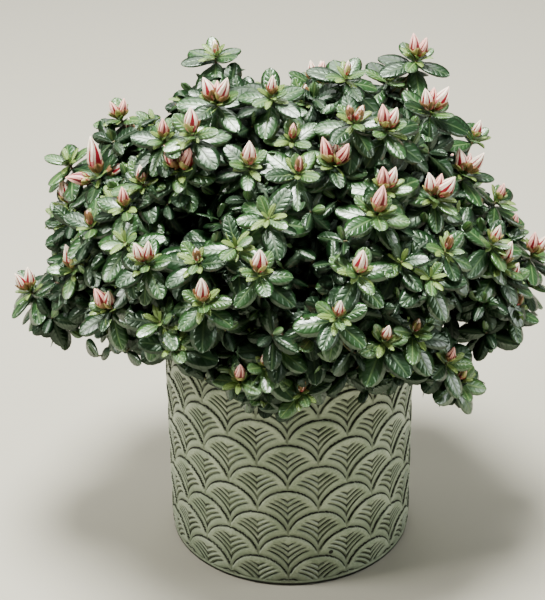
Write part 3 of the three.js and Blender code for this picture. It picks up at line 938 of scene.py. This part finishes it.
shoot_sprigs = Sprigs(shoot_paths, shoot_seed, mass_reach[shoot_mass], shoot_sprig_habit)
inner_sprigs = Sprigs(mass_stems, mass_seed, mass_reach, mass_stem_sprig_habit)
low_sprigs = Sprigs(bough_paths, mass_seed + 40, mass_reach, bough_sprig_habit)
twig_finish = mottled("young_twig", (0.12, 0.09, 0.04, 1), 0.6, 0.35, (120, 3), (0.35, 0.65),
                      (0.085, 0.055, 0.028, 1), (0.15, 0.15, 0.055, 1), 0.2 * mm)
sprig_radii = sprig_radius * (1.2 - 0.4 * twig_steps[::2])
points, faces = joined(
    tubes(mass_stems, mass_stem_radius * (1.1 - 0.25 * twig_steps), mass_stem_columns),
    tubes(shoot_paths, shoot_radii, shoot_columns),
    *(tubes(sprigs.paths, sprig_radii, sprig_columns)
      for sprigs in (shoot_sprigs, inner_sprigs, low_sprigs)))
foliage_nodes = ["foliage_" + name for name in masses]
new_piece("shoots", points, faces, [twig_finish], foliage_nodes)

# Leaves
# Leathery evergreen leaves, broadest beyond the middle, with a blunt tip, a pale sunken midrib and
# edges that roll back. They sit in whorls: large dark ones spread below, small pale ones stand
# about the buds, and older leaves are scattered down each shoot.
leaf_thickness = 0.35 * mm
stalk_half_width = 0.9 * mm
tip_half_width = 0.12 * mm
midrib_depth = 0.22 * mm
midrib_width = 0.16
leaf_slimness = (0.26, 0.31)
leaf_roll = (0.04, 0.22)
least_bend = 0.02
stalk_out = 0.5 * mm
leaf_clearance = 0.8 * mm
vein_slant = 0.22
half_vein_pitch = 0.08
quilt_depth = 0.4 * mm

# Each kind of whorl: how many leaves it has, the length of its topmost one, how many degrees its
# lowest and its topmost leaf spread, and how far down the shoot it begins
crown_whorl = (9, 15 * mm, 97, 46, 9 * mm)
young_tuft = (7, 9 * mm, 62, 26, 3 * mm)
sprig_whorl = (7, 12 * mm, 96, 36, 10 * mm)

# The older leaves down each kind of limb: how many, how far along it the first and the last may
# stand, and their length
shoot_row = (7, 0.3, 0.88, 27 * mm)
mass_stem_row = (9, 0.1, 0.98, 32 * mm)
bough_row = (6, 0.7, 0.98, 32 * mm)


def leaf_outline(station):
    """Half the leaf's width as a share of its greatest: it widens from the stalk to just beyond
    the middle, and closes in a blunt point. The divisor is the product's own greatest value."""
    return station ** 0.8 * (1 - station) ** 0.6 / 0.384


class LeafGrid:
    """The grid of a leaf: stations along it, and columns across its upper and its under side.
    The under side shares the edges of the upper side, and fans of faces close both ends."""

    def __init__(self, stations, upper, under):
        self.stations, self.upper, self.under = map(np.array, (stations, upper, under))
        rows, wide, narrow = len(stations), len(upper), len(under)
        row = np.arange(rows)
        edges = [row * wide]
        edges += [rows * wide + narrow * row + column for column in range(narrow)]
        edges += [row * wide + wide - 1]
        faces = [grid_faces(rows, wide)]
        middle = np.tile(np.arange(wide - 1) == wide // 2 - 1, rows - 1)
        for one, other in zip(edges, edges[1:]):
            faces.append(np.stack([one[:-1], other[1:], other[:-1]], 1))
            faces.append(np.stack([one[:-1], one[1:], other[1:]], 1))
        for end, order in ((0, 1), (rows - 1, -1)):
            under_end = rows * wide + narrow * end + np.arange(narrow)
            loop = np.concatenate([end * wide + np.arange(wide), under_end[::-1]])
            fan = np.stack([np.full(len(loop) - 2, loop[0]), loop[1:-1], loop[2:]], 1)
            faces.append(fan[:, ::-order])
        self.faces = np.concatenate(faces)
        self.on_midrib = np.zeros(len(self.faces), bool)
        self.on_midrib[:2 * len(middle)] = np.concatenate([middle, middle])
        across = np.concatenate([np.tile(upper, rows), np.tile(under, rows)])
        along = np.concatenate([np.repeat(stations, wide), np.repeat(stations, narrow)])
        self.sheet = np.stack([across * 0.5 + 0.5, along], 1)

    def points(self, root, along, facing, length, half_width, bend, roll):
        """Points of many leaves. The midrib leaves its root along one direction and turns away
        from the side it faces at an even rate, by bend radians in all. Across it, the surface
        falls with the square of the distance from the midrib, and the midrib is sunk."""
        side = np.cross(along, facing)
        bend = np.maximum(bend, least_bend)[:, None]
        turn = bend * self.stations
        forward, down = np.sin(turn) / bend, (1 - np.cos(turn)) / bend
        spine = root[:, None] + length[:, None, None] * (
            along[:, None] * forward[..., None] - facing[:, None] * down[..., None])
        upward = facing[:, None] * np.cos(turn)[..., None] + along[:, None] * np.sin(turn)[..., None]
        width = half_width[:, None] * leaf_outline(self.stations)
        width = width + stalk_half_width * (1 - self.stations) ** 6 + tip_half_width
        sides = []
        for columns, lift in ((self.upper, 0), (self.under, -leaf_thickness)):
            fall = roll[:, None, None] * width[..., None] * columns ** 2
            groove = midrib_depth * np.exp(-(columns / midrib_width) ** 2)
            rise = lift - fall - groove
            out = width[..., None] * columns
            skin = (spine[:, :, None] + side[:, None, None] * out[..., None]
                    + upward[:, :, None] * rise[..., None])
            sides.append(skin.reshape(len(root), -1, 3))
        return np.concatenate(sides, 1)


full_grid = LeafGrid([0, 0.14, 0.32, 0.51, 0.69, 0.84, 0.945, 1],
                     [-1, -0.56, -0.07, 0.07, 0.56, 1], [-0.45, 0.45])
spare_grid = LeafGrid([0, 0.2, 0.42, 0.64, 0.82, 0.94, 1], [-1, -0.09, 0.09, 1], [0.0])


def spread_from(axis, opening, bearing):
    """Leaves that open from an axis by an angle: their ways, the ways straight out from the axis,
    and the sides that they face, square to their ways and towards the axis's own way."""
    along = turned_from(axis, opening, bearing)
    out = unit(along - axis * np.sum(along * axis, 1, keepdims=True))
    facing = unit(axis * np.sin(opening)[:, None] - out * np.cos(opening)[:, None])
    return along, out, facing


class Leaves:
    """Leaves to be grown: where each is rooted, its way, the side it faces, its length, its seed
    and its rank, which is 0 for an old leaf and 1 for the youngest."""

    def __init__(self, root, axis, opening, bearing, length, seed, rank):
        self.along, out, self.facing = spread_from(axis, opening, bearing)
        self.root = root + out * stalk_out
        self.length, self.seed, self.rank = length, seed, rank

    def only(self, chosen):
        """The same leaves without those not chosen."""
        part = Leaves.__new__(Leaves)
        for name, value in vars(self).items():
            setattr(part, name, value[chosen])
        return part

    def grown(self, grid, slim=1.0, cupped=0.0):
        """The points of the leaves that clear the planter, with their grid. A leaf's middle has to
        lie in the crown's outline, and its tip may stand a little out of it."""
        half_width = self.length * varied(self.seed, 5, *leaf_slimness) * slim
        bend = 0.15 + varied(self.seed, 6, 0, 0.6) * (1 - 0.6 * self.rank)
        roll = varied(self.seed, 7, *leaf_roll) - cupped
        points = grid.points(self.root, self.along, self.facing, self.length, half_width, bend, roll)
        kept = clear_of_planter(points, leaf_clearance).all(axis=1)
        for share, shrunk in ((0.45, 1), (0.95, 0.93)):
            seen_part = self.root + self.along * self.length[:, None] * share
            kept = kept & in_outline(heart + (seen_part - heart) * shrunk)
        return points[kept], grid


def whorls(tip, pointing, seed, longest, kind):
    """The leaves of whorls at shoot tips, a golden angle apart. From the lowest leaf to the
    topmost they grow shorter and stand more upright."""
    count, shortest, spread_low, spread_top, depth = kind
    whorl, number = shared_out(count, len(tip))
    rank = number / (count - 1)
    leaf_seed = seed[whorl] * 31 + number
    bearing = golden_angle * number + full_turn * uneven(seed[whorl], 8)
    bearing = bearing + varied(leaf_seed, 1, -0.175, 0.175)
    opening = spread_low + (spread_top - spread_low) * rank ** 1.8 + varied(leaf_seed, 2, -8, 8)
    length = longest[whorl] + (shortest - longest[whorl]) * rank ** 2.2
    length = length * varied(leaf_seed, 3, 0.88, 1.12)
    axis = pointing[whorl]
    root = tip[whorl] - axis * (depth * (1 - rank))[:, None]
    return Leaves(root, axis, np.radians(opening), bearing, length, leaf_seed, rank)


def scattered(paths, seed, kind):
    """Older leaves down the limbs, a golden angle apart, that spread and hang a little."""
    count, first, last, length = kind
    limb, number = shared_out(count, len(paths))
    leaf_seed = seed[limb] * 47 + number
    share = first + (last - first) * (number + varied(leaf_seed, 1, 0, 0.6)) / count
    step = share * (paths.shape[1] - 1)
    low = np.floor(step).astype(int)
    one, other = paths[limb, low], paths[limb, low + 1]
    root = one + (other - one) * (step - low)[:, None]
    axis = unit(unit(other - one) + up * 0.5)
    bearing = golden_angle * number + full_turn * uneven(leaf_seed, 2)
    opening = np.radians(varied(leaf_seed, 3, 70, 104))
    length = length * varied(leaf_seed, 4, 0.8, 1.15)
    return Leaves(root, axis, opening, bearing, length, leaf_seed, 0 * share)


def sprig_whorls(sprigs):
    """The smaller whorls at the tips of side sprigs."""
    longest = varied(sprigs.seed, 9, 20, 27) * mm
    return whorls(sprigs.tip, sprigs.pointing, sprigs.seed, longest, sprig_whorl)


crown_length = (np.where(pictured, 29, 25) + varied(shoot_seed, 9, 0, 4)) * mm
tuft_length = np.full(len(shoot_tip), 15 * mm)
crown_leaves = whorls(shoot_tip, shoot_pointing, shoot_seed, crown_length, crown_whorl)
tufts = whorls(shoot_tip, shoot_pointing, shoot_seed + 200, tuft_length, young_tuft)
side_leaves = sprig_whorls(shoot_sprigs)
shoot_leaves = scattered(shoot_paths, shoot_seed, shoot_row)
shaded_inner_leaves = [
    sprig_whorls(inner_sprigs), sprig_whorls(low_sprigs),
    scattered(mass_stems, mass_seed, mass_stem_row), scattered(bough_paths, mass_seed, bough_row),
]


def leaf_skin(name, color, roughness, gloss):
    """A leathery skin whose gleam is tinted green, under a clear waxy gloss, quilted between the
    side veins. The veins run forwards from the midrib, and are read from the leaf's own sheet."""
    finish = Finish(name, color, roughness, specular=0.35 + 0.65 * gloss,
                    specular_tint=(0.76, 1.0, 0.74, 1), coat_roughness=0.15, coat_ior=1.6)
    sheet = finish.add("ShaderNodeUVMap", {"uv_map": "sheet"}, {})
    across, along, _ = finish.parts(sheet)
    out = finish.size(across - 0.5) * 2
    vein = finish.size(finish.wrap(along - out * vein_slant, half_vein_pitch)) / half_vein_pitch
    quilt = finish.rise(vein, 0, 0.6) * finish.rise(out, 0.05, 0.3)
    finish.set(coat_weight=(0.4 + 0.4 * quilt) * gloss)
    finish.bump(quilt, quilt_depth, 0.65)
    return finish


def new_leaves(name, color, rib_color, roughness, gloss, *grown):
    """One piece of leaves of one colour, from groups of grown leaves. Their midribs have a colour
    of their own and no gloss."""
    cloud, faces = joined(*((points, grid.faces) for points, grid in grown))
    midribs = np.concatenate([np.tile(grid.on_midrib, len(points)) for points, grid in grown])
    sheet = np.concatenate([np.tile(grid.sheet, (len(points), 1)) for points, grid in grown])
    skins = [leaf_skin(name, color, roughness, gloss), Finish(name + "_rib", rib_color, 0.5)]
    new_piece(name, cloud, faces, skins, foliage_nodes, midribs, sheet)


# The topmost leaves of a crown whorl are fresh, and some of its middle ones. The others are dark
# or full green at random. Whorls that stand back behind the pictured ones are painted dark as
# painted shade, with few fresh leaves. On a side sprig the topmost leaf is fresh, and the others
# are dark or old.
fresh_from = 0.8
some_fresh_from = 0.5
some_fresh_share = 0.4
recessed_fresh_share = 0.3
dark_from = 0.68
sprig_fresh_from = 0.85
sprig_dark_from = 0.55
tone = uneven(crown_leaves.seed, 10)
side_tone = uneven(side_leaves.seed, 10)
# the leaves of whorls that stand back, which are darkened as painted shade
shaded_whorl_leaves = np.repeat(in_front, crown_whorl[0])
crown_fresh = (crown_leaves.rank > some_fresh_from) & (tone < some_fresh_share)
crown_fresh = crown_fresh | (crown_leaves.rank > fresh_from)
crown_fresh = crown_fresh & ~(shaded_whorl_leaves & (tone > recessed_fresh_share))
crown_dark = ~crown_fresh & ((tone > dark_from) | shaded_whorl_leaves)
side_fresh = side_leaves.rank > sprig_fresh_from
side_dark = ~side_fresh & (side_tone > sprig_dark_from)
# the leaves inside the crown are painted near black, as painted shade
new_leaves("shaded_inner_leaves", (0.0025, 0.009, 0.004, 1), (0.012, 0.026, 0.010, 1), 0.5, 0.0,
           *(part.grown(spare_grid) for part in shaded_inner_leaves))
# older leaves: a darker green, darkened further as painted shade inside the crown
new_leaves("old_and_shaded_leaves", (0.004, 0.017, 0.005, 1), (0.02, 0.042, 0.014, 1), 0.4, 0.2,
           shoot_leaves.grown(spare_grid),
           side_leaves.only(~side_fresh & ~side_dark).grown(spare_grid))
# dark leaves: some darker green at random, plus the leaves of whorls that stand back as painted shade
new_leaves("dark_leaves", (0.005, 0.024, 0.005, 1), (0.035, 0.075, 0.022, 1), 0.36, 0.6,
           crown_leaves.only(crown_dark).grown(full_grid),
           side_leaves.only(side_dark).grown(spare_grid))
new_leaves("full_leaves", (0.019, 0.062, 0.014, 1), (0.09, 0.17, 0.05, 1), 0.34, 0.9,
           crown_leaves.only(~crown_fresh & ~crown_dark).grown(full_grid))
new_leaves("fresh_leaves", (0.055, 0.128, 0.032, 1), (0.17, 0.27, 0.08, 1), 0.34, 0.9,
           crown_leaves.only(crown_fresh).grown(full_grid),
           side_leaves.only(side_fresh).grown(spare_grid))
new_leaves("young_leaves", (0.18, 0.28, 0.06, 1), (0.25, 0.35, 0.09, 1), 0.4, 0.5,
           tufts.grown(spare_grid, 0.62, 0.3))

# Flower buds
# Pointed buds of five rolled petals, cream or blush with crimson flames that start at the foot,
# where brown and green scales clasp them. They stand alone or two or three together.

# Each bud of a group: its length, how far it leans out, and to which side, in mm and degrees
bud_groups = {
    "none": [],
    "tight": [(12, 3, 0)],
    "small": [(15, 4, 0)],
    "one": [(21, 3, 0)],
    "pair": [(14, 16, 0), (14, 16, 180)],
    "two": [(18, 13, 0), (18, 13, 180)],
    "three": [(21, 22, 0), (20, 22, 180), (16, 10, 90)],
    "open": [(32, 4, 0), (19, 70, 5), (19, 70, 178)],
}
bud_stations = np.array([0, 0.08, 0.22, 0.4, 0.58, 0.76, 0.91, 1])
petal_lap = 0.16
petal_twist = 0.8
bud_slimness = 0.245
stoutest_bud = 22 * mm
bud_stalk = 2 * mm
bud_leaning = 0.3
bud_spacing = 6 * mm
bud_tip_width = 0.04
deep_share = 0.35
columns_in_petal = 5

# Half the share of each petal's width that its crimson flame takes at the foot, and its thinner
# rose line, then where they lie across the petal and how far up it they reach
petal_flames = np.array([0.34, 0.24, 0.37, 0.18, 0.30])
petal_lines = np.array([0.05, 0.11, 0.04, 0.13, 0.08])
petals = len(petal_flames)
flame_middle = 0.38
flame_reach = 0.96
line_middle = 0.84
line_reach = 0.72


def bud_width(station):
    """The bud's half width as a share of its greatest, which is the divisor: full near the foot,
    and drawn to a point."""
    return np.sin(np.pi * station ** 0.74) ** 0.75 * (1 - 0.2 * station) / 0.94


def flame_columns(station):
    """Where the five columns of each petal lie across it, from 0 to 1, at each station. The
    second and third bound the flame, which narrows to a point, the fourth and fifth the line."""
    wide = petal_flames * np.clip(1 - station / flame_reach, 0, 1)[:, None] ** 0.6
    thin = petal_lines * np.clip(1 - station / line_reach, 0, 1)[:, None] ** 0.8
    return np.stack([0 * wide, flame_middle - wide, flame_middle + wide,
                     line_middle - thin, line_middle + thin], -1)


def bud_points(foot, pointing, length, width, turn):
    """Points of many buds: rings about each bud's axis. The radius is the bud's width at that
    height, and it grows across each petal and drops back at its lapped edge."""
    side, other = square_to(pointing)
    across = flame_columns(bud_stations)
    petal = np.arange(petals)[None, :, None]
    angle = (full_turn / petals * (petal + across)).reshape(len(bud_stations), -1)
    lap = (across - 0.5).reshape(len(bud_stations), -1)
    width_there = np.maximum(bud_width(bud_stations), bud_tip_width)
    radius = width_there[:, None] * (1 + petal_lap * lap)
    angle = angle[None] + turn[:, None, None] + petal_twist * bud_stations[None, :, None]
    ring = spokes(side[:, None, None], other[:, None, None], angle)
    rise = pointing[:, None, None] * (length[:, None] * bud_stations)[..., None, None]
    skin = foot[:, None, None] + rise + ring * (width[:, None, None] * radius)[..., None]
    ends = np.stack([foot, foot + pointing * length[:, None]], 1)
    return np.concatenate([skin.reshape(len(foot), -1, 3), ends], 1)


def bud_template():
    """Faces of one bud and the finish of each: 0 for cream, 1 for crimson and 2 for rose, which
    also fills the foot of the petal between its flame and its line."""
    rows, columns = len(bud_stations), petals * columns_in_petal
    column = np.tile(np.arange(columns) % columns_in_petal, rows - 1)
    row = np.repeat(np.arange(rows - 1), columns)
    finish = np.select([column == 1, column == 3, (row < 3) & (column == 2)], [1, 2, 2], 0)
    at_ends = np.zeros(2 * columns, int)
    return ring_faces(rows, columns), np.concatenate([finish, finish, at_ends])


buds = [(shoot, number, *bud) for shoot, kind in enumerate(shoot_buds)
        for number, bud in enumerate(bud_groups[str(kind)])]
bud_shoot, bud_number, bud_length, bud_lean, bud_side = np.array(buds, float).T
bud_shoot = bud_shoot.astype(int)
bud_seed = shoot_seed[bud_shoot] * 5 + bud_number
bud_length = bud_length * mm * varied(bud_seed, 1, 0.92, 1.08)
group_turn = np.where(pictured, varied(shoot_seed, 11, -0.45, 0.45),
                      full_turn * uneven(shoot_seed, 11))
bud_axis = unit(shoot_toward[bud_shoot] * bud_leaning + up)
bud_bearing = np.pi / 2 + np.radians(bud_side) + group_turn[bud_shoot]
bud_pointing = turned_from(bud_axis, np.radians(bud_lean), bud_bearing)
bud_foot = shoot_tip[bud_shoot] + bud_axis * bud_stalk + (bud_pointing - bud_axis) * bud_spacing
plump_length = np.minimum(bud_length, stoutest_bud)
bud_half = plump_length * bud_slimness * varied(bud_seed, 2, 0.92, 1.12)
bud_turn = full_turn * uneven(bud_seed, 3)
bud_cloud = bud_points(bud_foot, bud_pointing, bud_length, bud_half, bud_turn)
bud_faces, petal_finish = bud_template()


def grained(name, color, roughness, grain, depth, **sockets):
    """Satiny petals or papery scales with a fine grain. grain says how many grains a metre has."""
    finish = Finish(name, color, roughness, specular=0.4, **sockets)
    finish.bump(finish.noise(finish.place(), grain, 2), depth, 0.6)
    return finish


# Petals let a little light through. A share of the buds has the deeper three of the colours.
petal_colors = {
    "cream_petal": (0.95, 0.77, 0.61, 1), "crimson_flame": (0.29, 0.007, 0.02, 1),
    "rose_line": (0.62, 0.15, 0.16, 1), "blush_petal": (0.86, 0.46, 0.38, 1),
    "deep_flame": (0.19, 0.006, 0.014, 1), "deep_line": (0.42, 0.05, 0.06, 1),
}
petal_skins = [
    grained(name, color, 0.42, 900, 0.15 * mm, subsurface_weight=0.2,
            subsurface_radius=(0.004, 0.002, 0.0015), subsurface_scale=0.5)
    for name, color in petal_colors.items()]
deep = (uneven(bud_seed, 5) < deep_share)[:, None]
petal_finish = np.where(deep, petal_finish + 3, petal_finish)
cloud, faces = joined((bud_cloud, bud_faces))
new_piece("flower_buds", cloud, faces, petal_skins, foliage_nodes, petal_finish.ravel())

# The scales that clasp the foot of each bud are short leaves that curve over it. They cover most
# of a bud that is still shut.
scales_on_bud = 6
scale_width = 0.62
scale_roll = 0.4
scale_out_by = 0.8 * mm
shut_length = 13.5 * mm
scale_bud, scale_number = shared_out(scales_on_bud, len(bud_foot))
scale_seed = bud_seed[scale_bud] * 7 + scale_number
shut = bud_length < shut_length


def by_bud(when_shut, when_open):
    """One value for the scales of buds that are still shut, and another for those of the rest."""
    return np.where(shut, when_shut, when_open)[scale_bud]


scale_bearing = full_turn * scale_number / scales_on_bud + varied(scale_seed, 1, 0, 0.6)
scale_opening = np.radians(by_bud(40, 58) + varied(scale_seed, 2, 0, 6))
scale_along, scale_out, scale_inside = spread_from(
    bud_pointing[scale_bud], scale_opening, scale_bearing)
scale_length = plump_length[scale_bud] * by_bud(0.95, 0.58) * varied(scale_seed, 3, 0.8, 1.1)
scale_cloud = spare_grid.points(
    bud_foot[scale_bud] + scale_out * scale_out_by, scale_along, -scale_inside, scale_length,
    bud_half[scale_bud] * scale_width, by_bud(1.3, 1.05), np.full(len(scale_bud), scale_roll))
is_green = uneven(scale_seed, 4) > by_bud(0.85, 0.5)
cloud, faces = joined((scale_cloud, spare_grid.faces))
scale_skins = [grained("brown_scale", (0.20, 0.105, 0.038, 1), 0.5, 600, 0.2 * mm),
               grained("green_scale", (0.36, 0.32, 0.10, 1), 0.5, 600, 0.2 * mm)]
new_piece("bud_scales", cloud, faces, scale_skins, foliage_nodes,
          np.repeat(is_green, len(spare_grid.faces)))

# Floor, light and camera
# A plain pale floor, a strong soft light from straight above as under an open sky, weaker ones
# from behind, from the left and from the right, and the photograph's own view.
floor_size = 6
floor_finish = Finish("pale_floor", (0.48, 0.46, 0.375, 1), 0.9, specular=0.1)
floor_mesh = bpy.data.meshes.new("studio_floor")
corners = [(east * floor_size, north * floor_size, 0)
           for east, north in ((-1, -1), (1, -1), (1, 1), (-1, 1))]
floor_mesh.from_pydata(corners, [], [(0, 1, 2, 3)])
floor_mesh.materials.append(floor_finish.material)
studio_floor = bpy.data.objects.new("studio_floor", floor_mesh)
bpy.context.scene.collection.objects.link(studio_floor)


def aimed(kind, name, position, back, right):
    """An object that stands at a point and looks against back, with right to its right."""
    item = bpy.data.objects.new(name, kind)
    axes = np.stack([right, np.cross(back, right), back], 1)
    item.matrix_world = Matrix.Translation(position) @ Matrix(axes.tolist()).to_4x4()
    bpy.context.scene.collection.objects.link(item)
    return item


def soft_light(name, azimuth, elevation, distance, size, power, color):
    """A round lamp that faces the crown's heart and is seen from there at an azimuth and an
    elevation in degrees. Its distance and size are in metres, and its power is in watts."""
    lamp = bpy.data.lights.new(name, "AREA")
    lamp.shape = "DISK"
    lamp.size = size
    lamp.energy = power
    lamp.color = color
    back = direction(azimuth, elevation)
    aimed(lamp, name, heart + back * distance, back, square_to(back)[0])


soft_light("sky_light", 180, 86, 2.0, 0.85, 136, (1.0, 1.0, 0.97))
soft_light("back_light", 90, 45, 2.2, 1.6, 25, (1.0, 1.0, 0.97))
soft_light("key_light", -172, 34, 2.2, 0.9, 52, (1.0, 0.98, 0.94))
soft_light("fill_light", -10, 20, 2.6, 1.6, 38, (0.97, 0.99, 1.0))

world = bpy.data.worlds.new("studio")
world.use_nodes = True
world.node_tree.nodes["Background"].inputs["Color"].default_value = (1.0, 1.0, 0.98, 1)
world.node_tree.nodes["Background"].inputs["Strength"].default_value = 0.1
bpy.context.scene.world = world

camera = bpy.data.cameras.new("view")
camera.lens = lens_length
camera.sensor_width = sensor_size
camera.clip_start = 0.05
bpy.context.scene.camera = aimed(camera, "view", view_eye, view_back, view_right)
